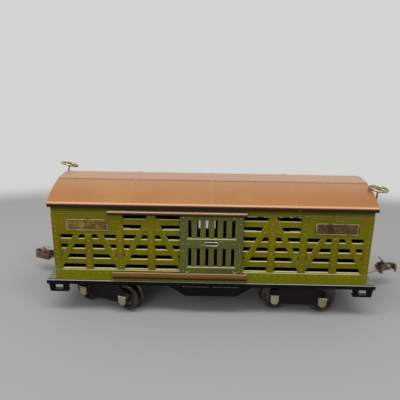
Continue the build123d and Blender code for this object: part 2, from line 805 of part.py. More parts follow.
def make_journal_box(x, direction):
    width = journal_width
    round_z = axle_z - journal_height / 2 + width / 2
    top_z = axle_z + journal_height / 2
    box = block(x - width / 2, x + width / 2, journal_back_y, journal_front_y, round_z, top_z)
    box += across(width / 2, journal_back_y, journal_front_y, x, round_z)
    half_lid = width / 2 + journal_lid_proud / 2
    box += block(x - half_lid, x + half_lid, journal_back_y,
                 journal_front_y + journal_lid_proud / 2, top_z - journal_lid_height, top_z)
    box -= across(axle_radius + journal_bore_play, journal_back_y - past,
                  journal_back_y + journal_bore_depth, x, axle_z)
    return box if direction > 0 else Pos(2 * x, 0, 0) * half_turn(box)


def make_journal_boxes():
    boxes = [make_journal_box(x, direction)
             for direction in (-1, 1) for x in (-wheelbase / 2, wheelbase / 2)]
    return Compound(children=boxes)


def make_axle(x):
    half = journal_back_y + journal_bore_depth - axle_end_play
    return across(axle_radius, -half, half, x, axle_z)


def make_wheel(x, direction):
    # Half section of the +Y wheel: radius first, then distance from the truck's middle.
    back = wheel_back_y
    face = wheel_face_y
    dish = face - wheel_dish_depth
    flange_face = back + flange_thickness
    points = [(axle_radius, back), (flange_radius - flange_edge, back),
              (flange_radius, back + flange_edge), (flange_radius, flange_face - flange_edge),
              (tread_radius + flange_edge, flange_face), (tread_radius, flange_face + flange_edge),
              (tread_radius, face - wheel_edge), (tread_radius - wheel_edge, face),
              (wheel_rim_radius, face), (wheel_rim_radius - wheel_edge, dish),
              (hub_radius + wheel_edge, dish), (hub_radius, face), (axle_radius, face)]
    section = make_face(Polyline(*points, close=True))
    wheel = revolve(section, axis=Axis.Y)
    if direction < 0:
        wheel = half_turn(wheel)
    return Pos(x, 0, axle_z) * wheel


def make_king_pin():
    low = truck_under_z - 2 * free_gap
    pin = upright(king_pin_radius, low, frame_top)
    pin += upright(king_head_radius, frame_top, frame_top + king_head_height)
    pin += upright(king_head_radius, low - rivet_head_height, low)
    return pin


def make_king_washer():
    low = frame_under - king_washer_height
    washer = upright(king_washer_radius, low, frame_under)
    return washer - upright(king_pin_radius, low - past, frame_under + past)


# ---- couplers, drawn about their own rivet with the head towards +X
def strip_on_edge(line, thickness, z0, z1):
    # A strip that stands on edge and follows an open line, with mitred corners.
    outlines = []
    for side in (1, -1):
        edge = []
        for number, (x, y) in enumerate(line):
            before = line[max(number - 1, 0)]
            after = line[min(number + 1, len(line) - 1)]
            into = math.atan2(y - before[1], x - before[0]) if number else None
            out = math.atan2(after[1] - y, after[0] - x) if number < len(line) - 1 else into
            into = out if into is None else into
            bend = math.remainder(out - into, 2 * math.pi) / 2
            reach = side * thickness / 2 / math.cos(bend)
            edge.append((x - reach * math.sin(into + bend), y + reach * math.cos(into + bend)))
        outlines.append(edge)
    return plate_along_z(outlines[0] + outlines[1][::-1], z0, z1)


def make_coupler():
    z0 = tongue_top_z + free_gap
    z1 = z0 + coupler_bar_thickness
    half_bar = coupler_bar_width / 2
    back_x = coupler_length - hook_reach
    front_x = coupler_length + hook_reach
    coupler = block(0, back_x + hook_thickness, -half_bar, half_bar, z0, z1)
    coupler += upright(half_bar + coupler_eye_margin, z0, z1)

    # the hook runs out on the +Y side, turns across the front and back at its tip
    hook_low = coupler_height - hook_height / 2
    hook_high = hook_low + hook_height
    back_line = back_x + hook_thickness / 2
    front_line = front_x - hook_thickness / 2
    side_line = (throat_width + hook_thickness) / 2
    hook_line = [(back_line, -side_line), (back_line, side_line),
                 (front_line - hook_bevel, side_line), (front_line, side_line - hook_bevel),
                 (front_line, -hook_tip_offset), (front_line - hook_tip_run, -side_line)]
    coupler += strip_on_edge(hook_line, hook_thickness, hook_low, hook_high)

    # a floor under the latch's nose, and a rib that stiffens the hook's side
    pin_x, pin_z = latch_pin_place()
    nose_x = pin_x + latch_nose_length * math.cos(math.radians(latch_shut_angle)) + latch_thickness
    half_throat = throat_width / 2
    coupler += block(back_x, nose_x, -half_throat, half_throat, z0, z1)
    coupler += block(back_x, front_line - hook_bevel, half_throat - hook_rib_width,
                     half_throat + hook_thickness / 2, z0, z1)

    # two ears on the back plate carry the latch
    ear_y = latch_width / 2 + 2 * free_gap
    for y0, y1 in ((-ear_y - latch_ear_thickness, -ear_y), (ear_y, ear_y + latch_ear_thickness)):
        coupler += block(back_x, pin_x + latch_ear_radius, y0, y1, hook_high - latch_ear_radius, pin_z)
        coupler += across(latch_ear_radius, y0, y1, pin_x, pin_z)
    coupler -= across(latch_pin_radius, -side_line - past, side_line + past, pin_x, pin_z)
    coupler -= upright(coupler_rivet_radius + running_fit, z0 - past, z1 + past)
    return coupler


def latch_pin_place():
    # High enough for the nose of a shut latch to stop just above the bar.
    back_x = coupler_length - hook_reach
    shut = math.radians(latch_shut_angle)
    nose_drop = latch_nose_length * math.sin(shut) + latch_thickness / 2 * math.cos(shut)
    bar_top = tongue_top_z + free_gap + coupler_bar_thickness
    return back_x + hook_thickness + latch_pin_setback, bar_top + free_gap + nose_drop


def make_latch(end):
    # A flat lever. Shut, its finger end is up and back and its nose down in the hook's throat.
    pin_x, pin_z = latch_pin_place()
    half = latch_width / 2
    outline = [(-latch_finger_length, -half / 2), (0, -half), (latch_nose_length, -half),
               (latch_nose_length, half), (0, half), (-latch_finger_length, half / 2)]
    lever = plate_along_z(outline, -latch_thickness / 2, latch_thickness / 2)
    lever += block(latch_nose_length - latch_nose_block, latch_nose_length, -half, half,
                   latch_thickness / 2, latch_nose_thickness - latch_thickness / 2)
    lever += across(latch_boss_radius, -half, half)
    lever -= across(latch_pin_radius + running_fit, -latch_width, latch_width)
    return Pos(pin_x, 0, pin_z) * Rot(0, latch_angle[end], 0) * lever


def make_latch_pin():
    pin_x, pin_z = latch_pin_place()
    half = latch_width / 2 + free_gap * 2 + latch_ear_thickness
    pin = across(latch_pin_radius, -half, half, pin_x, pin_z)
    for y0, y1 in ((-half - latch_rivet_height, -half), (half, half + latch_rivet_height)):
        pin += across(latch_rivet_radius, y0, y1, pin_x, pin_z)
    return pin


def make_coupler_rivet():
    low = tongue_top_z - truck_top_thickness
    high = tongue_top_z + coupler_bar_thickness + 2 * free_gap
    rivet = upright(coupler_rivet_radius, low, high)
    rivet += upright(coupler_rivet_head_radius, high, high + rivet_head_height)
    rivet += upright(coupler_rivet_head_radius, low - rivet_head_height, low)
    return rivet


# ---- placing
def truck_place(end):
    direction = 1 if end == "right" else -1
    heading = truck_angle[end] + (0 if direction > 0 else 180)
    return Pos(direction * truck_spacing / 2, 0, 0) * Rot(0, 0, heading)


def coupler_place(end):
    return truck_place(end) * Pos(coupler_pivot_reach, 0, 0) * Rot(0, 0, coupler_angle[end])


def build():
    os.makedirs("parts", exist_ok=True)

    save(make_underframe(), "underframe")
    save(make_roof(), "roof")
    near_pieces = {
        "side_skirt": make_side_skirt(), "side_wall": make_side_wall(),
        "upper_guide": make_upper_guide(), "lower_guide": make_lower_guide(),
        "door": make_door(), "door_handle": make_door_handle()}
    for name, piece in near_pieces.items():
        save(piece, f"{name}_near")
        save(half_turn(piece), f"{name}_far")

    end_wall = make_end_wall()
    bracket = make_staff_bracket()
    save(end_wall, "end_wall_right")
    save(half_turn(end_wall), "end_wall_left")
    save(bracket, "staff_bracket_right")
    save(half_turn(bracket), "staff_bracket_left")

    step = make_corner_step()
    mirrored = mirror(step, about=Plane.YZ)
    save(step, "corner_step_near_right")
    save(mirrored, "corner_step_near_left")
    save(half_turn(step), "corner_step_far_left")
    save(half_turn(mirrored), "corner_step_far_right")

    plate_x = (post_middle(2) + post_width / 2 + corner_post_x) / 2
    for place, x in (("left", -plate_x), ("right", plate_x)):
        plate = make_name_plate(x)
        save(plate, f"name_plate_near_{place}")
        save(half_turn(plate), f"name_plate_far_{'right' if place == 'left' else 'left'}")

    for end in ends:
        direction = 1 if end == "right" else -1
        pivot = Pos(direction * truck_spacing / 2, 0, 0)
        save(pivot * make_king_pin(), f"king_pin_{end}")
        save(pivot * make_king_washer(), f"king_washer_{end}")
        save(make_brake_staff(end), f"brake_staff_{end}")
        save(make_brake_wheel(end), f"brake_wheel_{end}")

        truck = truck_place(end)
        save(truck * make_truck_frame(), f"truck_frame_{end}")
        save(truck * make_journal_boxes(), f"journal_boxes_{end}")
        save(truck * Pos(coupler_pivot_reach, 0, 0) * make_coupler_rivet(),
             f"coupler_rivet_{end}")
        for axle_name, x in (("inner", -wheelbase / 2), ("outer", wheelbase / 2)):
            save(truck * make_axle(x), f"axle_{end}_{axle_name}")
            for wheel_side, side_direction in (("a", 1), ("b", -1)):
                save(truck * make_wheel(x, side_direction),
                     f"wheel_{end}_{axle_name}_{wheel_side}")

        coupler = coupler_place(end)
        save(coupler * make_coupler(), f"coupler_{end}")
        save(coupler * make_latch(end), f"latch_{end}")
        save(coupler * make_latch_pin(), f"latch_pin_{end}")


build()
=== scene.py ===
import json
import math

import bmesh
import bpy
from mathutils import Matrix, Vector


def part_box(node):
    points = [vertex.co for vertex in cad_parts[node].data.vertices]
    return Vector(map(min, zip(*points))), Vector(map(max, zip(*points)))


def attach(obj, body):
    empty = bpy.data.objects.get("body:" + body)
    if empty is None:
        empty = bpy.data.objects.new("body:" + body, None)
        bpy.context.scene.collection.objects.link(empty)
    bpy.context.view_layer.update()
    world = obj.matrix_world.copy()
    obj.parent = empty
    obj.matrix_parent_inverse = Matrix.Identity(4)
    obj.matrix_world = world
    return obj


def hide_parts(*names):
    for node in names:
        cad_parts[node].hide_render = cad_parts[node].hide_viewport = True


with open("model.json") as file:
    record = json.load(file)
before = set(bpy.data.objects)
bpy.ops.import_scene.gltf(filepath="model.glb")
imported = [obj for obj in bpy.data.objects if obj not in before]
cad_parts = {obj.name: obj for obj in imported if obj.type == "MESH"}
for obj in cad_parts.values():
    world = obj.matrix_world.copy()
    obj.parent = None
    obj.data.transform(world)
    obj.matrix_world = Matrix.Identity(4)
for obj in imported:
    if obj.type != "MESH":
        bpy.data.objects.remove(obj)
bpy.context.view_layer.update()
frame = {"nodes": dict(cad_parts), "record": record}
nodes = frame["nodes"]
mm = 0.001
ends = ("left", "right")
sides = ("near", "far")


# ---- node helpers
def addNode(tree, kind, values=None, **settings):
    node = tree.nodes.new(kind)
    for name, value in settings.items():
        setattr(node, name, value)
    for name, value in (values or {}).items():
        feed(tree, value, node.inputs[name])
    return node


def feed(tree, value, socket):
    # a value is another node's socket, a number or a colour
    if isinstance(value, bpy.types.NodeSocket):
        tree.links.new(value, socket)
    elif isinstance(value, (tuple, list)) and socket.type == "RGBA":
        socket.default_value = (*value, 1.0)
    else:
        socket.default_value = value


def calculate(tree, operation, first, second=0.0, clamp=False):
    node = addNode(tree, "ShaderNodeMath", operation=operation, use_clamp=clamp)
    feed(tree, first, node.inputs[0])
    feed(tree, second, node.inputs[1])
    return node.outputs[0]


def between(tree, value, low, high, toLow=0.0, toHigh=1.0):
    node = addNode(tree, "ShaderNodeMapRange",
                   {"Value": value, "From Min": low, "From Max": high,
                    "To Min": toLow, "To Max": toHigh}, interpolation_type="SMOOTHSTEP")
    return node.outputs["Result"]


def mixColours(tree, factor, first, second):
    node = addNode(tree, "ShaderNodeMix", data_type="RGBA")
    feed(tree, factor, node.inputs["Factor"])
    feed(tree, first, node.inputs[6])
    feed(tree, second, node.inputs[7])
    return node.outputs[2]


def noise(tree, place, scale, detail=3.0, roughness=0.55):
    node = addNode(tree, "ShaderNodeTexNoise",
                   {"Vector": place, "Scale": scale, "Detail": detail, "Roughness": roughness})
    return node.outputs["Fac"]


def objectPlace(tree):
    return addNode(tree, "ShaderNodeTexCoord").outputs["Object"]


def startGroup(name, inputs, outputs):
    group = bpy.data.node_groups.new(name, "ShaderNodeTree")
    for socketName, value in inputs.items():
        socket = group.interface.new_socket(socketName, in_out="INPUT",
                                            socket_type="NodeSocketFloat")
        socket.default_value = value
    for socketName, kind in outputs.items():
        group.interface.new_socket(socketName, in_out="OUTPUT", socket_type=kind)
    start = group.nodes.new("NodeGroupInput")
    end = group.nodes.new("NodeGroupOutput")
    return group, start.outputs, end.inputs


def useGroup(tree, group, values):
    return addNode(tree, "ShaderNodeGroup", values, node_tree=group)


# ---- effects shared by the finishes
# each pair is where a soft step starts and where it is full
mottleRule = {"broad": (0.34, 0.68), "fine": (0.3, 0.7)}
wearRule = {"edge": (0.015, 0.16), "upward": (0.05, 0.3), "limit": 0.78, "spread": 0.5,
            "softness": 0.1}
hollowDarkRule = {"patches": (0.25, 0.7), "strength": (0.5, 1.4), "corner": (0.12, 0.75)}
scratchRule = {"stretch": (0.35, 1.0, 2.2), "turn": (0.25, 0.4, 0.3), "width": 0.022,
               "patchScale": 55.0, "limit": 0.75, "spread": 0.4}
reliefRule = {"slowScale": 0.12, "slowShare": 4.0}
raySamples = 6


def makeMottleGroup():
    # slow and quick changes of tone over a surface, in cycles per metre
    tree, given, result = startGroup("mottle", {"Broad Scale": 18.0, "Fine Scale": 260.0},
                                     {"Broad": "NodeSocketFloat", "Fine": "NodeSocketFloat"})
    place = objectPlace(tree)
    broad = noise(tree, place, given["Broad Scale"], 4.0, 0.6)
    fine = noise(tree, place, given["Fine Scale"], 5.0, 0.65)
    feed(tree, between(tree, broad, *mottleRule["broad"]), result["Broad"])
    feed(tree, between(tree, fine, *mottleRule["fine"]), result["Fine"])
    return tree


def makeWearGroup():
    # rubbed edges: where a rounded normal leaves the true one, broken up by noise. Upper is the
    # rounded edges that look up, which the enamels paint lighter as a painted highlight
    rule = wearRule
    tree, given, result = startGroup("edgeWear", {"Radius": 0.5 * mm, "Break Scale": 150.0,
                                                  "Amount": 0.5},
                                     {"Mask": "NodeSocketFloat", "Upper": "NodeSocketFloat"})
    rounded = addNode(tree, "ShaderNodeBevel", {"Radius": given["Radius"]}, samples=raySamples)
    true = addNode(tree, "ShaderNodeNewGeometry").outputs["True Normal"]
    likeness = addNode(tree, "ShaderNodeVectorMath", operation="DOT_PRODUCT")
    feed(tree, rounded.outputs["Normal"], likeness.inputs[0])
    feed(tree, true, likeness.inputs[1])
    unlike = calculate(tree, "SUBTRACT", 1.0, likeness.outputs["Value"])
    edge = between(tree, unlike, *rule["edge"])
    lift = addNode(tree, "ShaderNodeSeparateXYZ", {"Vector": rounded.outputs["Normal"]})
    upward = between(tree, lift.outputs["Z"], *rule["upward"])
    feed(tree, calculate(tree, "MULTIPLY", edge, upward), result["Upper"])
    place = objectPlace(tree)
    patches = noise(tree, place, given["Break Scale"], 6.0, 0.7)
    limit = calculate(tree, "SUBTRACT", rule["limit"],
                      calculate(tree, "MULTIPLY", given["Amount"], rule["spread"]))
    upper = calculate(tree, "ADD", limit, rule["softness"])
    worn = addNode(tree, "ShaderNodeMapRange", {"Value": patches, "From Min": limit,
                                                "From Max": upper}, clamp=True)
    feed(tree, calculate(tree, "MULTIPLY", edge, worn.outputs["Result"], clamp=True),
         result["Mask"])
    return tree


def makeHollowDarkGroup():
    # darker in corners and hollows that a short ray finds closed, in patches broken up by noise
    tree, given, result = startGroup("hollowDark", {"Reach": 3.0 * mm, "Break Scale": 90.0},
                                     {"Mask": "NodeSocketFloat"})
    hollow = addNode(tree, "ShaderNodeAmbientOcclusion", {"Distance": given["Reach"]},
                     samples=raySamples)
    closed = calculate(tree, "SUBTRACT", 1.0, hollow.outputs["AO"])
    broken = noise(tree, objectPlace(tree), given["Break Scale"], 5.0, 0.7)
    strength = between(tree, broken, *hollowDarkRule["patches"], *hollowDarkRule["strength"])
    spread = calculate(tree, "MULTIPLY", closed, strength)
    feed(tree, between(tree, spread, *hollowDarkRule["corner"]), result["Mask"])
    return tree


def makeScratchGroup():
    # thin scratches: stretched cells, kept only where a second noise is high
    rule = scratchRule
    tree, given, result = startGroup("scratches", {"Scale": 60.0, "Amount": 0.4},
                                     {"Mask": "NodeSocketFloat"})
    stretch = addNode(tree, "ShaderNodeMapping", {"Vector": objectPlace(tree),
                                                  "Scale": rule["stretch"],
                                                  "Rotation": rule["turn"]})
    cells = addNode(tree, "ShaderNodeTexVoronoi",
                    {"Vector": stretch.outputs["Vector"], "Scale": given["Scale"]},
                    feature="DISTANCE_TO_EDGE")
    line = between(tree, cells.outputs["Distance"], 0.0, rule["width"], 1.0, 0.0)
    kept = noise(tree, objectPlace(tree), rule["patchScale"], 3.0, 0.6)
    limit = calculate(tree, "SUBTRACT", rule["limit"],
                      calculate(tree, "MULTIPLY", given["Amount"], rule["spread"]))
    show = calculate(tree, "GREATER_THAN", kept, limit)
    feed(tree, calculate(tree, "MULTIPLY", line, show), result["Mask"])
    return tree


def makeReliefGroup():
    # a slightly uneven coat over rounded edges
    tree, given, result = startGroup("coatRelief", {"Edge Radius": 0.3 * mm, "Wave Scale": 420.0,
                                                    "Height": 0.01 * mm, "Mark": 0.0},
                                     {"Normal": "NodeSocketVector"})
    rounded = addNode(tree, "ShaderNodeBevel", {"Radius": given["Edge Radius"]},
                      samples=raySamples)
    place = objectPlace(tree)
    waves = noise(tree, place, given["Wave Scale"], 3.0, 0.5)
    slowScale = calculate(tree, "MULTIPLY", given["Wave Scale"], reliefRule["slowScale"])
    slow = noise(tree, place, slowScale, 2.0, 0.5)
    slow = calculate(tree, "MULTIPLY", slow, reliefRule["slowShare"])
    surface = calculate(tree, "ADD", waves, slow)
    marked = calculate(tree, "SUBTRACT", surface, given["Mark"])
    bump = addNode(tree, "ShaderNodeBump", {"Height": marked, "Distance": given["Height"],
                                            "Strength": 1.0, "Normal": rounded.outputs["Normal"]})
    feed(tree, bump.outputs["Normal"], result["Normal"])
    return tree


mottleGroup = makeMottleGroup()
wearGroup = makeWearGroup()
hollowDarkGroup = makeHollowDarkGroup()
scratchGroup = makeScratchGroup()
reliefGroup = makeReliefGroup()
print("shared effects made")


# ---- finishes
def startMaterial(name):
    material = bpy.data.materials.new(name)
    material.use_nodes = True
    tree = material.node_tree
    tree.nodes.clear()
    output = tree.nodes.new("ShaderNodeOutputMaterial")
    shader = tree.nodes.new("ShaderNodeBsdfPrincipled")
    tree.links.new(shader.outputs["BSDF"], output.inputs["Surface"])
    return material, tree, shader


def upFacing(tree, low, high):
    # a soft step from 0 to 1 as the z of a face's normal goes from low to high
    normal = addNode(tree, "ShaderNodeTexCoord").outputs["Normal"]
    split = addNode(tree, "ShaderNodeSeparateXYZ", {"Vector": normal})
    return between(tree, split.outputs["Z"], low, high)


def insideBody(tree, place, reach):
    # 1 within the walls of the car, where the faces are painted dark as a painted shade
    halfLong, halfWide, bottom = reach
    fromMiddle = calculate(tree, "ABSOLUTE", place["X"])
    alongCar = calculate(tree, "LESS_THAN", fromMiddle, halfLong * mm)
    offCentre = calculate(tree, "ABSOLUTE", place["Y"])
    acrossCar = calculate(tree, "LESS_THAN", offCentre, halfWide * mm)
    above = calculate(tree, "GREATER_THAN", place["Z"], bottom * mm)
    return calculate(tree, "MULTIPLY", above, calculate(tree, "MULTIPLY", alongCar, acrossCar))


# shares and limits that all the enamels have in common; a ledge is a face that looks up, which is
# painted lighter as a painted highlight
enamelRule = {"grainScale": 320.0, "blushSpread": 0.16, "seam": 0.6, "ledgeFrom": 0.35,
              "ledgeFull": 0.6, "scratchDepth": 0.6, "hollowDarkRough": 0.25, "rubbedRough": 0.12,
              "undersideFrom": -0.1, "undersideFull": -0.4, "insideRough": 0.6}


def makeEnamel(name, look):
    rule = enamelRule
    material, tree, shader = startMaterial(name)
    mottle = useGroup(tree, mottleGroup, {"Broad Scale": look.get("patchScale", 18.0),
                                          "Fine Scale": rule["grainScale"]}).outputs
    place = addNode(tree, "ShaderNodeSeparateXYZ", {"Vector": objectPlace(tree)}).outputs
    wear, upper = useGroup(tree, wearGroup, {"Radius": look["wearReach"] * mm,
                                             "Amount": look["wear"]}).outputs
    hollowDarkReach = look.get("hollowDarkReach", 3.0) * mm
    hollowDark = useGroup(tree, hollowDarkGroup, {"Reach": hollowDarkReach}).outputs["Mask"]
    scratch = useGroup(tree, scratchGroup, {"Amount": look["scratches"]}).outputs["Mask"]

    colour = mixColours(tree, mottle["Broad"], look["colour"], look["shade"])
    fineTone = calculate(tree, "MULTIPLY", mottle["Fine"], look.get("grainTone", 0.25))
    colour = mixColours(tree, fineTone, colour, look["shade"])
    for blushColour, spots, low, amount in look.get("blushes", ()):
        spot = between(tree, noise(tree, objectPlace(tree), spots, 4.0, 0.6), low,
                       low + rule["blushSpread"])
        colour = mixColours(tree, calculate(tree, "MULTIPLY", spot, amount), colour, blushColour)
    for start, full, fadeColour, amount in look.get("heightFades", ()):
        fade = between(tree, place["Z"], start * mm, full * mm)
        colour = mixColours(tree, calculate(tree, "MULTIPLY", fade, amount), colour, fadeColour)
    # painted sheen: the running board is painted paler, with a painted shade in a band along its
    # edges
    if "boardSheenColour" in look:
        offCentre = calculate(tree, "ABSOLUTE", place["Y"])
        onBoard = calculate(tree, "LESS_THAN", offCentre, look["boardReach"] * mm)
        besideBoard = calculate(tree, "LESS_THAN", offCentre, look["seamReach"] * mm)
        colour = mixColours(tree, calculate(tree, "MULTIPLY", besideBoard, rule["seam"]), colour,
                            look["seamColour"])
        colour = mixColours(tree, onBoard, colour, look["boardSheenColour"])
    # darker in corners and hollows
    colour = mixColours(tree, calculate(tree, "MULTIPLY", hollowDark, look["hollowDark"]),
                        colour, look["hollowDarkColour"])
    # painted highlight: faces and rounded edges that look up take a pale colour
    if "ledgeHighlightColour" in look:
        level = upFacing(tree, rule["ledgeFrom"], rule["ledgeFull"])
        if "deckRim" in look:
            # a painted highlight along a pale rim, a dark strip inside it, and a painted
            # reflection on the platforms between the strips
            offCentre = calculate(tree, "ABSOLUTE", place["Y"])
            rim = calculate(tree, "GREATER_THAN", offCentre, look["deckRim"] * mm)
            platform = calculate(tree, "LESS_THAN", offCentre,
                                 (look["deckRim"] - look["deckShade"]) * mm)
            platform = calculate(tree, "MULTIPLY", platform, look["platform"])
            level = calculate(tree, "MULTIPLY", level, calculate(tree, "MAXIMUM", rim, platform))
        level = calculate(tree, "MULTIPLY", level, look.get("levelShare", 1.0))
        ledge = calculate(tree, "MAXIMUM", level, upper)
        ledge = calculate(tree, "MULTIPLY", ledge, look["ledge"])
        colour = mixColours(tree, ledge, colour, look["ledgeHighlightColour"])
    rubbed = calculate(tree, "MAXIMUM", wear,
                       calculate(tree, "MULTIPLY", scratch, rule["scratchDepth"]))
    colour = mixColours(tree, rubbed, colour, look["bareColour"])
    low, high = look["roughness"]
    rough = between(tree, mottle["Fine"], 0.0, 1.0, low, high)
    rough = calculate(tree, "ADD", rough, calculate(tree, "MULTIPLY", hollowDark, rule["hollowDarkRough"]))
    rough = calculate(tree, "ADD", rough,
                      calculate(tree, "MULTIPLY", rubbed, rule["rubbedRough"]), clamp=True)
    # painted shade: faces within the body, or faces that look down, are painted dark
    if "insideShadeColour" in look:
        if "insideReach" in look:
            inside = insideBody(tree, place, look["insideReach"])
        else:
            inside = upFacing(tree, rule["undersideFrom"], rule["undersideFull"])
        colour = mixColours(tree, inside, colour, look["insideShadeColour"])
        rough = calculate(tree, "ADD", rough,
                          calculate(tree, "MULTIPLY", inside, rule["insideRough"]), clamp=True)
    feed(tree, colour, shader.inputs["Base Color"])
    feed(tree, rough, shader.inputs["Roughness"])
    feed(tree, calculate(tree, "MULTIPLY", rubbed, look.get("bareMetal", 0.6)),
         shader.inputs["Metallic"])
    relief = useGroup(tree, reliefGroup, {"Edge Radius": look.get("edgeRadius", 0.3) * mm,
                                          "Wave Scale": look.get("waveScale", 420.0),
                                          "Height": look.get("relief", 0.012) * mm,
                                          "Mark": rubbed})
    feed(tree, relief.outputs["Normal"], shader.inputs["Normal"])
    shader.inputs["Specular IOR Level"].default_value = look["gloss"]
    return material


# shares and limits that all the bare metals have in common
metalRule = {"patchScale": 60.0, "grainScale": 900.0, "wearReach": 0.4, "hollowDarkReach": 2.0,
             "edgeRadius": 0.25, "relief": 0.008,
             "scratchScale": 140.0, "scratchAmount": 0.6, "grainTone": 0.3,
             "patchFrom": 0.45, "patchFull": 0.62, "shank": 0.8, "scratchShine": 0.4,
             "hollowDarkRough": 0.3, "hollowDarkDull": 0.7, "waveScale": 900.0}


def makeMetal(name, look):
    rule = metalRule
    material, tree, shader = startMaterial(name)
    mottle = useGroup(tree, mottleGroup, {"Broad Scale": rule["patchScale"],
                                          "Fine Scale": rule["grainScale"]}).outputs
    wear = useGroup(tree, wearGroup, {"Radius": rule["wearReach"] * mm,
                                      "Amount": look["polish"]}).outputs["Mask"]
    hollowDark = useGroup(tree, hollowDarkGroup, {"Reach": rule["hollowDarkReach"] * mm}).outputs["Mask"]
    scratch = useGroup(tree, scratchGroup, {"Scale": rule["scratchScale"],
                                            "Amount": rule["scratchAmount"]}).outputs["Mask"]
    colour = mixColours(tree, mottle["Broad"], look["colour"], look["tarnish"])
    grain = calculate(tree, "MULTIPLY", mottle["Fine"], rule["grainTone"])
    colour = mixColours(tree, grain, colour, look["tarnish"])
    if "patch" in look:
        spot = noise(tree, objectPlace(tree), look["patchSpots"], 5.0, 0.7)
        spot = between(tree, spot, rule["patchFrom"], rule["patchFull"])
        colour = mixColours(tree, spot, colour, look["patch"])
    if "shankColour" in look:
        # the couplers' shanks, between their two heads
        along = addNode(tree, "ShaderNodeSeparateXYZ", {"Vector": objectPlace(tree)}).outputs["X"]
        shank = calculate(tree, "MULTIPLY",
                          calculate(tree, "GREATER_THAN", along, look["shankFrom"] * mm),
                          calculate(tree, "LESS_THAN", along, look["shankTo"] * mm))
        shank = calculate(tree, "MULTIPLY", shank, rule["shank"])
        colour = mixColours(tree, shank, colour, look["shankColour"])
    # darker in corners and hollows
    colour = mixColours(tree, calculate(tree, "MULTIPLY", hollowDark, look["hollowDark"]),
                        colour, look["hollowDarkColour"])
    rubbed = calculate(tree, "MAXIMUM", wear,
                       calculate(tree, "MULTIPLY", scratch, rule["scratchShine"]))
    colour = mixColours(tree, rubbed, colour, look["bright"])
    feed(tree, colour, shader.inputs["Base Color"])
    low, high = look["roughness"]
    rough = between(tree, mottle["Broad"], 0.0, 1.0, low, high)
    rough = calculate(tree, "ADD", rough,
                      calculate(tree, "MULTIPLY", hollowDark, rule["hollowDarkRough"]), clamp=True)
    feed(tree, rough, shader.inputs["Roughness"])
    dulled = calculate(tree, "MULTIPLY", hollowDark, look["hollowDark"])
    dulled = calculate(tree, "MULTIPLY", dulled, rule["hollowDarkDull"])
    feed(tree, calculate(tree, "SUBTRACT", look.get("metallic", 1.0), dulled, clamp=True),
         shader.inputs["Metallic"])
    relief = useGroup(tree, reliefGroup, {"Edge Radius": rule["edgeRadius"] * mm,
                                          "Wave Scale": rule["waveScale"],
                                          "Height": rule["relief"] * mm,
                                          "Mark": scratch})
    feed(tree, relief.outputs["Normal"], shader.inputs["Normal"])
    return material


def guideLip(which, share):
    # a height on a door guide, as a share of it from its lower edge, in mm
    low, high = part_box(which + "_guide_near")
    return (low.z + share * (high.z - low.z)) / mm
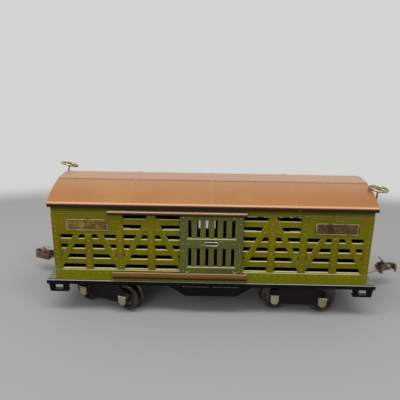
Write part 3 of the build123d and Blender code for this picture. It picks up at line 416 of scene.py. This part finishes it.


# lengths in mm. A blush is a colour, its spots per metre, the noise it starts at and its
# strength. A height fade is the heights where it starts and is full, a colour and its strength.
# A ledge colour is a painted highlight on faces and edges that look up, and an inside colour is
# a painted shade within the body or under the roof
enamels = {
    "greenEnamel": {
        "colour": (0.205, 0.172, 0.0025), "shade": (0.15, 0.13, 0.0025),
        "blushes": (((0.12, 0.155, 0.002), 45.0, 0.5, 0.7),
                    ((0.22, 0.12, 0.006), 70.0, 0.54, 0.6)),
        # the first fade is a painted shade on the wall under the eave
        "heightFades": ((98.0, 102.0, (0.03, 0.028, 0.002), 0.75),
                        (45.5, 43.0, (0.18, 0.19, 0.002), 0.7)),
        "hollowDarkColour": (0.03, 0.024, 0.003), "bareColour": (0.42, 0.38, 0.12),
        "ledgeHighlightColour": (0.64, 0.59, 0.3), "ledge": 0.9,
        "insideShadeColour": (0.012, 0.011, 0.005), "insideReach": (136.7, 43.15, 0.0),
        "roughness": (0.24, 0.4), "gloss": 0.08,
        "wear": 0.6, "wearReach": 0.4, "scratches": 0.22, "hollowDark": 0.7, "relief": 0.012},
    "rivetEnamel": {
        "colour": (0.33, 0.27, 0.03), "shade": (0.3, 0.16, 0.01),
        "hollowDarkColour": (0.05, 0.03, 0.005), "bareColour": (0.5, 0.42, 0.16),
        "ledgeHighlightColour": (0.6, 0.54, 0.24), "ledge": 0.3,
        "patchScale": 90.0, "roughness": (0.2, 0.36), "gloss": 0.2,
        "wear": 0.6, "wearReach": 0.3, "scratches": 0.2, "hollowDark": 0.6, "hollowDarkReach": 1.0},
    "doorEnamel": {
        "colour": (0.132, 0.13, 0.033), "shade": (0.086, 0.084, 0.02),
        "blushes": (((0.1, 0.12, 0.028), 60.0, 0.5, 0.7),),
        "hollowDarkColour": (0.022, 0.02, 0.006), "bareColour": (0.36, 0.35, 0.17),
        "ledgeHighlightColour": (0.58, 0.56, 0.33), "ledge": 0.9,
        "roughness": (0.28, 0.46), "gloss": 0.09,
        "wear": 0.75, "wearReach": 0.4, "scratches": 0.3, "hollowDark": 0.7},
    "roofEnamel": {
        "colour": (0.49, 0.222, 0.082), "shade": (0.43, 0.183, 0.066),
        "blushes": (((0.5, 0.26, 0.1), 22.0, 0.5, 0.5),),
        # painted sheen lighter towards the crown, a painted highlight along the fold, and painted
        # shade darkening down the turned-down eave
        "heightFades": ((112.0, 119.0, (0.5, 0.29, 0.15), 0.6),
                        (108.1, 107.5, (0.8, 0.46, 0.26), 0.9),
                        (106.9, 106.3, (0.2, 0.075, 0.022), 1.0),
                        (106.2, 105.2, (0.02, 0.004, 0.002), 1.0)),
        # the board colour is a painted sheen, and the band beside the board a painted shade
        "boardSheenColour": (0.53, 0.315, 0.19), "boardReach": 11.3,
        "seamColour": (0.22, 0.09, 0.035), "seamReach": 13.0,
        "ledgeHighlightColour": (0.8, 0.5, 0.3), "ledge": 0.85, "levelShare": 0.0,
        "hollowDarkColour": (0.12, 0.045, 0.018), "bareColour": (0.62, 0.42, 0.26), "bareMetal": 0.1,
        "insideShadeColour": (0.02, 0.009, 0.004),
        "roughness": (0.22, 0.32), "gloss": 0.22, "grainTone": 0.1,
        "wear": 0.5, "wearReach": 0.5, "scratches": 0.08, "hollowDark": 0.3, "hollowDarkReach": 1.2,
        "relief": 0.003, "waveScale": 200.0, "patchScale": 7.0, "edgeRadius": 0.4},
    "upperGuideEnamel": {
        "colour": (0.15, 0.068, 0.032), "shade": (0.12, 0.052, 0.024),
        # a painted highlight along the top and painted shade on the lower part
        "heightFades": ((guideLip("upper", 0.62), guideLip("upper", 0.8),
                         (0.62, 0.42, 0.28), 0.9),
                        (guideLip("upper", 0.55), guideLip("upper", 0.2),
                         (0.014, 0.005, 0.003), 0.95)),
        "hollowDarkColour": (0.012, 0.006, 0.004), "bareColour": (0.4, 0.26, 0.18),
        "ledgeHighlightColour": (0.72, 0.5, 0.38), "ledge": 1.0,
        "roughness": (0.2, 0.32), "gloss": 0.1, "grainTone": 0.1,
        "wear": 0.3, "wearReach": 0.3, "scratches": 0.08, "hollowDark": 0.4, "relief": 0.005},
    "lowerGuideEnamel": {
        "colour": (0.24, 0.115, 0.034), "shade": (0.19, 0.088, 0.026),
        # a painted highlight along the top lip and painted shade darker towards the bottom
        "heightFades": ((guideLip("lower", 0.8), guideLip("lower", 0.93),
                         (0.42, 0.32, 0.13), 0.85),
                        (guideLip("lower", 0.55), guideLip("lower", 0.3),
                         (0.07, 0.036, 0.013), 0.9),
                        (guideLip("lower", 0.3), guideLip("lower", 0.12),
                         (0.02, 0.011, 0.004), 0.9)),
        "hollowDarkColour": (0.012, 0.006, 0.004), "bareColour": (0.42, 0.28, 0.18),
        "ledgeHighlightColour": (0.46, 0.34, 0.17), "ledge": 0.95,
        "roughness": (0.2, 0.32), "gloss": 0.1, "grainTone": 0.1,
        "wear": 0.35, "wearReach": 0.3, "scratches": 0.08, "hollowDark": 0.4, "relief": 0.005},
    "blackEnamel": {
        "colour": (0.0045, 0.0045, 0.004), "shade": (0.007, 0.0065, 0.006),
        "hollowDarkColour": (0.014, 0.012, 0.01), "bareColour": (0.2, 0.18, 0.15),
        # painted highlight on the deck's rim and painted reflection on its end platforms, in the
        # ledge colour
        "ledgeHighlightColour": (0.6, 0.58, 0.47), "ledge": 0.8, "platform": 0.55,
        "deckRim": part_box("underframe")[1].y / mm - 0.6, "deckShade": 1.8,
        "insideShadeColour": (0.004, 0.004, 0.003), "insideReach": (136.7, 43.15, 34.6),
        "roughness": (0.15, 0.28), "gloss": 0.08,
        "wear": 0.4, "wearReach": 0.35, "scratches": 0.2, "hollowDark": 0.45, "relief": 0.008},
    "truckEnamel": {
        "colour": (0.005, 0.004, 0.003), "shade": (0.01, 0.0065, 0.004),
        "hollowDarkColour": (0.014, 0.01, 0.007), "bareColour": (0.12, 0.09, 0.06),
        "roughness": (0.3, 0.5), "gloss": 0.2,
        "wear": 0.4, "wearReach": 0.35, "scratches": 0.25, "hollowDark": 0.6}}

metals = {
    "nickelPlate": {
        "colour": (0.6, 0.56, 0.45), "tarnish": (0.36, 0.32, 0.23),
        "bright": (0.85, 0.82, 0.74),
        "hollowDarkColour": (0.05, 0.04, 0.03), "hollowDark": 0.7, "polish": 0.6,
        "roughness": (0.22, 0.4)},
    "brakeBrass": {
        "colour": (0.6, 0.52, 0.34), "tarnish": (0.32, 0.26, 0.15),
        "bright": (0.86, 0.8, 0.62),
        "hollowDarkColour": (0.06, 0.045, 0.025), "hollowDark": 0.6, "polish": 0.6,
        "roughness": (0.16, 0.32)},
    "copperPlate": {
        "colour": (0.25, 0.15, 0.036), "tarnish": (0.1, 0.078, 0.014),
        "bright": (0.6, 0.42, 0.26),
        "patch": (0.33, 0.21, 0.07), "patchSpots": 110.0,
        "hollowDarkColour": (0.04, 0.03, 0.01), "hollowDark": 0.7, "polish": 0.7,
        "roughness": (0.36, 0.55), "metallic": 0.8},
    "brownPlate": {
        "colour": (0.12, 0.062, 0.02), "tarnish": (0.06, 0.032, 0.012),
        "bright": (0.5, 0.36, 0.18),
        "patch": (0.15, 0.085, 0.03), "patchSpots": 150.0,
        "hollowDarkColour": (0.02, 0.012, 0.008), "hollowDark": 0.7, "polish": 0.5,
        "roughness": (0.36, 0.55), "metallic": 0.6},
    "wheelSteel": {
        "colour": (0.12, 0.108, 0.088), "tarnish": (0.068, 0.054, 0.04),
        "bright": (0.42, 0.39, 0.33),
        "patch": (0.06, 0.045, 0.034), "patchSpots": 80.0,
        "hollowDarkColour": (0.02, 0.014, 0.01), "hollowDark": 0.75, "polish": 0.5,
        "roughness": (0.28, 0.48)},
    "hookSteel": {
        "colour": (0.37, 0.28, 0.22), "tarnish": (0.2, 0.135, 0.1),
        "bright": (0.8, 0.72, 0.64),
        "patch": (0.16, 0.09, 0.06), "patchSpots": 110.0,
        "shankColour": (0.5, 0.46, 0.37), "shankFrom": -149.0, "shankTo": 171.0,
        "hollowDarkColour": (0.03, 0.02, 0.014), "hollowDark": 0.8, "polish": 0.65,
        "roughness": (0.26, 0.46)},
    "latchNickel": {
        "colour": (0.6, 0.55, 0.46), "tarnish": (0.42, 0.36, 0.29),
        "bright": (0.85, 0.8, 0.74),
        "hollowDarkColour": (0.05, 0.035, 0.025), "hollowDark": 0.6, "polish": 0.7,
        "roughness": (0.3, 0.45), "metallic": 0.4},
    "plateTrim": {
        "colour": (0.25, 0.175, 0.075), "tarnish": (0.12, 0.08, 0.03),
        "bright": (0.62, 0.48, 0.3),
        "hollowDarkColour": (0.03, 0.02, 0.01), "hollowDark": 0.7, "polish": 0.8,
        "roughness": (0.3, 0.5), "metallic": 0.6}}

finishes = {name: makeEnamel(name, look) for name, look in enamels.items()}
finishes.update({name: makeMetal(name, look) for name, look in metals.items()})
print("finishes made")


# ---- the carried-over parts: their finishes and softened edges
slotFinish = {"black_enamel": "blackEnamel", "green_enamel": "greenEnamel",
              "door_enamel": "doorEnamel", "roof_enamel": "roofEnamel",
              "guide_enamel": "lowerGuideEnamel", "nickel_plate": "nickelPlate",
              "copper_plate": "brownPlate", "wheel_steel": "wheelSteel",
              "coupler_steel": "hookSteel", "brake_brass": "brakeBrass"}
# by the start of a node's name, before its slot is looked up
specialFinish = {"truck_frame_": "truckEnamel", "upper_guide_": "upperGuideEnamel",
                 "latch_left": "latchNickel", "latch_right": "latchNickel",
                 "name_plate_near_left": "copperPlate", "name_plate_far_right": "copperPlate"}


def finishOf(node, slot):
    for start, name in specialFinish.items():
        if node.startswith(start):
            return name
    return slotFinish[slot]


def paintNodes():
    for row in frame["record"]["subparts"]:
        part = nodes[row["node"]]
        part.data.materials.clear()
        part.data.materials.append(finishes[finishOf(row["node"], row["material_slot"])])


def dropStoredNormals(mesh):
    stored = mesh.attributes.get("custom_normal")
    if stored:
        mesh.attributes.remove(stored)


# small plain parts get a rounded edge, in mm, by the start of their names; the cut sheets and
# the rest keep the faces they came with, because a bevel would tear them
edgeRadius = {"upper_guide": 0.2, "lower_guide": 0.2, "journal_boxes": 0.4, "name_plate": 0.12,
              "king_pin": 0.3, "coupler_rivet": 0.3}
# weld is a distance in mm
softening = {"weld": 0.004, "flatDegrees": 0.6, "bevelDegrees": 35, "segments": 2}


def softenNodes():
    for name, part in nodes.items():
        radius = next((r for start, r in edgeRadius.items() if name.startswith(start)), None)
        if radius is None:
            continue
        dropStoredNormals(part.data)
        for face in part.data.polygons:
            face.use_smooth = True
        weld = part.modifiers.new("weld", "WELD")
        weld.merge_threshold = softening["weld"] * mm
        flat = part.modifiers.new("flat", "DECIMATE")
        flat.decimate_type = "DISSOLVE"
        flat.angle_limit = math.radians(softening["flatDegrees"])
        bevel = part.modifiers.new("soft", "BEVEL")
        bevel.width = radius * mm
        bevel.segments = softening["segments"]
        bevel.limit_method = "ANGLE"
        bevel.angle_limit = math.radians(softening["bevelDegrees"])
        bevel.use_clamp_overlap = False
        bevel.miter_outer = "MITER_ARC"
        weighted = part.modifiers.new("weighted", "WEIGHTED_NORMAL")
        weighted.keep_sharp = True


paintNodes()
softenNodes()
print("frame parts finished")


# ---- pieces made here
def addPiece(name, mesh, finish, body):
    data = bpy.data.meshes.new(name)
    mesh.normal_update()
    mesh.to_mesh(data)
    mesh.free()
    for face in data.polygons:
        face.use_smooth = True
    piece = bpy.data.objects.new(name, data)
    bpy.context.scene.collection.objects.link(piece)
    data.materials.append(finishes[finish])
    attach(piece, body)
    return piece


# a dome's rings as shares of its radius and height; the first lies within the sheet
domeRings = ((1.0, -0.25), (0.96, 0.3), (0.66, 0.78))


def addDome(mesh, centre, outward, radius, height, around=10):
    turn = Vector(outward).to_track_quat("Z", "Y").to_matrix()
    rings = []
    for share, rise in domeRings:
        ring = []
        for step in range(around):
            angle = 2 * math.pi * step / around
            offset = Vector((math.cos(angle) * radius * share, math.sin(angle) * radius * share,
                             height * rise))
            ring.append(mesh.verts.new(centre + turn @ offset))
        rings.append(ring)
    top = mesh.verts.new(centre + turn @ Vector((0, 0, height)))
    for step in range(around):
        after = (step + 1) % around
        for lower, upper in zip(rings, rings[1:]):
            mesh.faces.new((lower[step], lower[after], upper[after], upper[step]))
        mesh.faces.new((rings[-1][step], rings[-1][after], top))
    mesh.faces.new(rings[0][::-1])


# in mm; the rivets' height is low enough for the door to slide over them
wall = {"doorPost": 24.9, "postPitch": 27.25, "cornerRivetX": 134.8, "cornerLow": 41.5,
        "cornerPitch": 4.82, "cornerCount": 12, "slatMiddle": 52.97, "slatPitch": 9.35,
        "slatCounts": (5, 5, 3), "footZ": 47.6, "footSpread": ((4.1, 54.6), (6.2, 58.6)),
        "headSpread": 6.4, "headZ": 82.4,
        "sillZ": 41.6, "sillPitch": 5.9, "sillFrom": 33.0, "sillTo": 129.0,
        "postBack": 0.1, "braceBack": 0.25, "radius": 0.75, "height": 0.25}


def wallRivetPlaces():
    # x along the car, depth back from the sill's face, and z, in mm
    places = []
    for direction in (-1, 1):
        for number in range(wall["cornerCount"]):
            z = wall["cornerLow"] + number * wall["cornerPitch"]
            places.append((direction * wall["cornerRivetX"], wall["postBack"], z))
        for post, slats in enumerate(wall["slatCounts"], 1):
            x = direction * (wall["doorPost"] + post * wall["postPitch"])
            for number in range(slats):
                z = wall["slatMiddle"] + number * wall["slatPitch"]
                places.append((x, wall["postBack"], z))
        # the feet of the braces meet at the second post, and their heads at the first
        middle = wall["doorPost"] + 2 * wall["postPitch"]
        for spread, z in wall["footSpread"]:
            for shift in (-spread, spread):
                places.append((direction * (middle + shift), wall["braceBack"], z))
        places.append((direction * middle, wall["postBack"], wall["footZ"]))
        first = wall["doorPost"] + wall["postPitch"]
        for shift in (-wall["headSpread"], wall["headSpread"]):
            places.append((direction * (first + shift), wall["braceBack"], wall["headZ"]))
        x = wall["sillFrom"]
        while x < wall["sillTo"]:
            places.append((direction * x, 0.0, wall["sillZ"]))
            x += wall["sillPitch"]
    return places


def addWallRivets(side):
    turn = -1 if side == "near" else 1
    low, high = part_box("lower_guide_" + side)
    margin = 1.0 * mm
    mesh = bmesh.new()
    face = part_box("side_wall_far")[1].y / mm
    for x, back, z in wallRivetPlaces():
        # the far side is the near side after half a turn
        centre = Vector((x * -turn, (face - back) * turn, z)) * mm
        behindGuide = (low.x - margin < centre.x < high.x + margin
                       and z * mm < high.z + margin)
        if not behindGuide:
            addDome(mesh, centre, (0, turn, 0), wall["radius"] * mm, wall["height"] * mm)
    addPiece("wall_rivets_" + side, mesh, "rivetEnamel", "car_body")


# in mm: two columns of rivets on each side of the door, with both filled at the pairs' heights
door = {"outer": 24.2, "inner": 19.2, "pairs": (95.6, 72.0, 46.0),
        "singles": (90.2, 78.6, 65.0, 52.6), "radius": 0.7, "height": 0.42}


def addDoorRivets(side):
    turn = -1 if side == "near" else 1
    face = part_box("door_far")[1].y
    places = [(x, z) for z in door["pairs"] for x in (door["outer"], door["inner"])]
    places += [(door["outer"], z) for z in door["singles"]]
    mesh = bmesh.new()
    for direction in (-1, 1):
        for x, z in places:
            addDome(mesh, Vector((direction * x * mm, turn * face, z * mm)), (0, turn, 0),
                    door["radius"] * mm, door["height"] * mm)
    addPiece("door_rivets_" + side, mesh, "doorEnamel", "sliding_door_" + side)


# the radius of the wire in mm, the sides of its round and the steps of each half turn
handle = {"wire": 0.5, "around": 12, "steps": 10}


def sweepTube(mesh, points, radius, around, closed=True):
    count = len(points)
    rings = []
    for number, point in enumerate(points):
        before = points[number - 1] if closed or number else point
        after = points[(number + 1) % count] if closed or number < count - 1 else point
        along = (after - before).normalized()
        turn = along.to_track_quat("Z", "Y").to_matrix()
        ring = []
        for step in range(around):
            angle = 2 * math.pi * step / around
            ring.append(mesh.verts.new(point + turn @ Vector(
                (math.cos(angle) * radius, math.sin(angle) * radius, 0))))
        rings.append(ring)
    pairs = list(zip(rings, rings[1:] + (rings[:1] if closed else [])))
    for lower, upper in pairs:
        # start where the two rings are nearest, so that the tube doesn't twist
        shift = min(range(around), key=lambda step: (upper[step].co - lower[0].co).length)
        for step in range(around):
            after = (step + 1) % around
            mesh.faces.new((lower[step], lower[after], upper[(after + shift) % around],
                            upper[(step + shift) % around]))
    if not closed:
        mesh.faces.new(rings[0][::-1])
        mesh.faces.new(rings[-1])


def addHandle(side):
    turn = -1 if side == "near" else 1
    low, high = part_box("door_handle_" + side)
    middle = (low + high) / 2
    wire = handle["wire"] * mm
    outerY = low.y if turn < 0 else high.y
    innerY = high.y if turn < 0 else low.y
    y = outerY - turn * wire
    halfLong = (high.x - low.x) / 2 - wire
    halfHigh = (high.z - low.z) / 2 - wire
    points = []
    for end in (1, -1):
        for step in range(handle["steps"] + 1):
            angle = math.pi * (step / handle["steps"] - 0.5)
            points.append(Vector((
                middle.x + end * (halfLong - halfHigh + math.cos(angle) * halfHigh), y,
                middle.z + end * math.sin(angle) * halfHigh)))
    mesh = bmesh.new()
    sweepTube(mesh, points, wire, handle["around"])
    for end in (-1, 1):
        x = middle.x + end * halfLong
        sweepTube(mesh, [Vector((x, y, middle.z)), Vector((x, innerY, middle.z))],
                  wire, handle["around"], closed=False)
    piece = addPiece("handle_loop_" + side, mesh, "nickelPlate", "sliding_door_" + side)
    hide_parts("door_handle_" + side)


for side in sides:
    addWallRivets(side)
    addDoorRivets(side)
    addHandle(side)
print("rivets and handles made")


# in mm, but the eyelets' inset in tabs; tab is the plate's bare end outside the border, and
# sunk is how far the border reaches into the plate
plate = {"border": 0.8, "height": 0.22, "tab": 1.0, "sunk": 0.05, "round": 0.08,
         "eyelet": 0.75, "eyeletHeight": 0.3, "eyeletInset": 2.2, "eyeletAround": 14}


def addPlateFrame(side, end):
    node = f"name_plate_{side}_{end}"
    low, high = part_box(node)
    turn = -1 if side == "near" else 1
    faceY = low.y if turn < 0 else high.y
    tab = plate["tab"] * mm
    border = plate["border"] * mm
    outer = [(low.x + tab, low.z), (high.x - tab, low.z), (high.x - tab, high.z),
             (low.x + tab, high.z)]
    inner = [(low.x + tab + border, low.z + border), (high.x - tab - border, low.z + border),
             (high.x - tab - border, high.z - border), (low.x + tab + border, high.z - border)]
    mesh = bmesh.new()
    top = faceY + turn * plate["height"] * mm
    base = faceY - turn * plate["sunk"] * mm
    rings = [[mesh.verts.new((x, y, z)) for x, z in outline]
             for outline, y in ((outer, base), (outer, top), (inner, top), (inner, base))]
    for lower, upper in zip(rings, rings[1:] + rings[:1]):
        for step in range(4):
            after = (step + 1) % 4
            mesh.faces.new((lower[step], lower[after], upper[after], upper[step]))
    bmesh.ops.recalc_face_normals(mesh, faces=mesh.faces)
    bmesh.ops.bevel(mesh, geom=mesh.edges, offset=plate["round"] * mm, segments=2,
                    affect="EDGES")
    inset = tab * plate["eyeletInset"]
    for x in (low.x + inset, high.x - inset):
        addDome(mesh, Vector((x, faceY, (low.z + high.z) / 2)), (0, turn, 0),
                plate["eyelet"] * mm, plate["eyeletHeight"] * mm, plate["eyeletAround"])
    addPiece("plate_frame_" + side + "_" + end, mesh, "plateTrim", "car_body")


for side in sides:
    for end in ends:
        addPlateFrame(side, end)
print("name plates made")


# in mm; the roof's turned-down side is fold high, and sink and footSink are the shares of the
# rim's radius that it lies within the arch and within the sides
roofRim = {"radius": 0.42, "inset": 0.45, "fold": 4.0, "sink": 0.5, "footSink": 0.6,
           "around": 10, "steps": 36}


def addRoofRim(end):
    # a rolled edge that follows the arch at one end
    low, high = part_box("roof")
    radius = roofRim["radius"] * mm
    halfWidth = high.y
    fold = low.z + roofRim["fold"] * mm
    rise = high.z - fold
    arc = (halfWidth ** 2 + rise ** 2) / (2 * rise)
    x = (high.x - roofRim["inset"] * mm) if end == "right" else (low.x + roofRim["inset"] * mm)
    reach = math.asin((halfWidth - radius) / arc)
    rimArc = arc - radius * roofRim["sink"]
    foot = halfWidth - radius * roofRim["footSink"]
    points = [Vector((x, -foot, low.z + radius))]
    for step in range(roofRim["steps"] + 1):
        angle = reach * (2 * step / roofRim["steps"] - 1)
        points.append(Vector((x, math.sin(angle) * rimArc,
                              high.z - arc + math.cos(angle) * rimArc)))
    points.append(Vector((x, foot, low.z + radius)))
    mesh = bmesh.new()
    sweepTube(mesh, points, radius, roofRim["around"], closed=False)
    addPiece("roof_rim_" + end, mesh, "roofEnamel", "car_body")


for end in ends:
    addRoofRim(end)
print("roof rims made")


# ---- floor, backdrop, lights and camera
# lengths in metres; the paper fades into the background over an oval that is longer along the car
stage = {"nearPaper": (0.46, 0.46, 0.455), "farPaper": (0.74, 0.74, 0.73), "half": 2.5,
         "fadeFrom": 0.32, "fadeTo": 0.43, "stretch": 1.7, "paperRoughness": 0.85,
         "paperGloss": 0.1, "background": (0.66, 0.66, 0.655), "worldLevel": 0.42}


def seenDirectly(tree):
    # by the camera, or through a reflection or glass
    path = addNode(tree, "ShaderNodeLightPath").outputs
    seen = calculate(tree, "MAXIMUM", path["Is Camera Ray"], path["Is Transmission Ray"])
    return calculate(tree, "MAXIMUM", seen, path["Is Glossy Ray"])


def paperMaterial():
    # a light grey sheet that runs into the background away from the car
    material, tree, shader = startMaterial("paper")
    place = addNode(tree, "ShaderNodeSeparateXYZ", {"Vector": objectPlace(tree)}).outputs
    alongCar = calculate(tree, "DIVIDE", place["X"], stage["stretch"])
    spread = calculate(tree, "ADD", calculate(tree, "MULTIPLY", alongCar, alongCar),
                       calculate(tree, "MULTIPLY", place["Y"], place["Y"]))
    distance = calculate(tree, "SQRT", spread)
    away = between(tree, distance, stage["fadeFrom"], stage["fadeTo"])
    feed(tree, mixColours(tree, away, stage["nearPaper"], stage["farPaper"]),
         shader.inputs["Base Color"])
    shader.inputs["Roughness"].default_value = stage["paperRoughness"]
    shader.inputs["Specular IOR Level"].default_value = stage["paperGloss"]
    background = addNode(tree, "ShaderNodeEmission", {"Color": stage["background"]})
    choice = addNode(tree, "ShaderNodeMixShader")
    feed(tree, calculate(tree, "MULTIPLY", away, seenDirectly(tree)), choice.inputs[0])
    tree.links.new(shader.outputs[0], choice.inputs[1])
    tree.links.new(background.outputs[0], choice.inputs[2])
    output = next(node for node in tree.nodes if node.type == "OUTPUT_MATERIAL")
    tree.links.new(choice.outputs[0], output.inputs["Surface"])
    return material


def addFloor():
    half = stage["half"]
    mesh = bmesh.new()
    corners = [mesh.verts.new((x, y, 0)) for x, y in
               ((-half, -half), (half, -half), (half, half), (-half, half))]
    mesh.faces.new(corners)
    data = bpy.data.meshes.new("floor")
    mesh.to_mesh(data)
    mesh.free()
    floor = bpy.data.objects.new("floor", data)
    bpy.context.scene.collection.objects.link(floor)
    data.materials.append(paperMaterial())


def setWorld():
    world = bpy.data.worlds.new("studio")
    bpy.context.scene.world = world
    world.use_nodes = True
    tree = world.node_tree
    tree.nodes.clear()
    plain = addNode(tree, "ShaderNodeBackground", {"Color": (1.0, 1.0, 1.0),
                                                   "Strength": stage["worldLevel"]})
    pale = addNode(tree, "ShaderNodeBackground", {"Color": stage["background"], "Strength": 1.0})
    choice = addNode(tree, "ShaderNodeMixShader")
    feed(tree, seenDirectly(tree), choice.inputs[0])
    tree.links.new(plain.outputs[0], choice.inputs[1])
    tree.links.new(pale.outputs[0], choice.inputs[2])
    output = tree.nodes.new("ShaderNodeOutputWorld")
    tree.links.new(choice.outputs[0], output.inputs["Surface"])


def addLamp(name, place, target, size, power):
    lamp = bpy.data.lights.new(name, "AREA")
    lamp.shape = "RECTANGLE"
    lamp.size, lamp.size_y = size
    lamp.energy = power
    holder = bpy.data.objects.new(name, lamp)
    bpy.context.scene.collection.objects.link(holder)
    holder.location = place
    holder.rotation_euler = (Vector(target) - Vector(place)).to_track_quat("-Z", "Y").to_euler()


# name, place, target, size along and across, and power
lamps = (("overheadStrip", (-0.05, -0.45, 1.2), (0, 0, 0.06), (1.6, 0.35), 8.8),
         ("frontFill", (-0.5, -1.3, 0.8), (0, 0, 0.06), (0.9, 0.7), 3.0))


# the place and the sensor in mm, the turns in degrees
cameraSetup = {"place": (-5.86, -412.95, 230.0), "yaw": -0.71, "down": 17.92, "roll": 0.82,
               "focalPixels": 461.99, "framePixels": 400, "sensor": 36.0}


def addCamera():
    setup = cameraSetup
    yaw, down, roll = (math.radians(setup[name]) for name in ("yaw", "down", "roll"))
    ahead = Vector((math.sin(yaw) * math.cos(down), math.cos(yaw) * math.cos(down),
                    -math.sin(down)))
    level = Vector((math.cos(yaw), -math.sin(yaw), 0))
    above = level.cross(ahead)
    right = level * math.cos(roll) + above * math.sin(roll)
    up = above * math.cos(roll) - level * math.sin(roll)
    turn = Matrix((right, up, -ahead)).transposed().to_4x4()
    camera = bpy.data.cameras.new("camera")
    camera.sensor_width = setup["sensor"]
    camera.lens = setup["focalPixels"] / setup["framePixels"] * setup["sensor"]
    camera.clip_start = 0.01
    holder = bpy.data.objects.new("camera", camera)
    bpy.context.scene.collection.objects.link(holder)
    holder.matrix_world = Matrix.Translation(Vector(setup["place"]) * mm) @ turn
    bpy.context.scene.camera = holder


addFloor()
setWorld()
for lamp in lamps:
    addLamp(*lamp)
addCamera()
bpy.context.scene.view_settings.view_transform = "Standard"
print("stage set")
